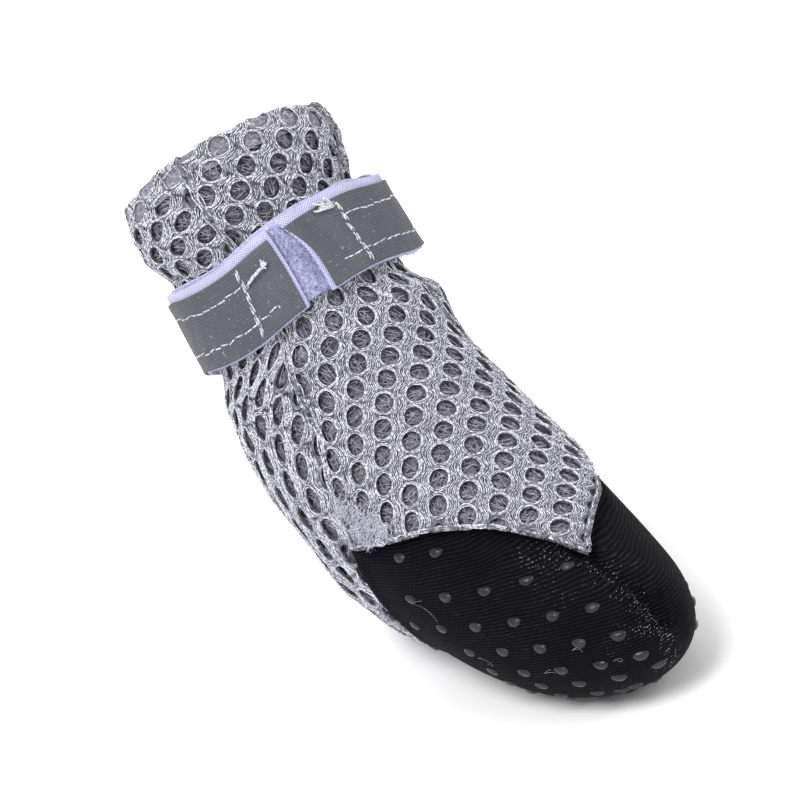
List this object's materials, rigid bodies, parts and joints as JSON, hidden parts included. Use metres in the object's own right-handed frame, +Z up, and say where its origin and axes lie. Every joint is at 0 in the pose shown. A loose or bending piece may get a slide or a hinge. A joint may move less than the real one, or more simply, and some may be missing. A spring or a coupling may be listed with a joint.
{
  "type": "dog boot",
  "caption": "Soft sock-like dog boot: hollow mesh upper with a pointed instep panel, knitted anti-slip sole pouch and a hook-and-loop ankle strap with reflective tabs",
  "frame": {"origin": "under the middle of the boot's box, on the plane that the sole stands on", "axes": "+Z up, the toe points along -Y, the boot's own right side is -X, and the boot is near symmetric about the plane X = 0"},
  "size_m": [0.0542, 0.1262, 0.1164],
  "materials": {
    "air_mesh": "silver-grey polyester air mesh with large round holes",
    "grip_knit": "black ribbed knit with glossy dark grey silicone grip dots",
    "loop_webbing": "pale lavender brushed loop webbing",
    "hook_webbing": "pale lavender hook webbing",
    "reflective_tape": "grey reflective tape with fine lengthwise ribs"
  },
  "bodies": {
    "root": {"upper": "air_mesh", "sole": "grip_knit", "strap_loop_band": "loop_webbing", "strap_tab_right": "hook_webbing", "strap_tab_left": "hook_webbing", "reflective_tape_right": "reflective_tape", "reflective_tape_left": "reflective_tape"}
  },
  "joints": []
}
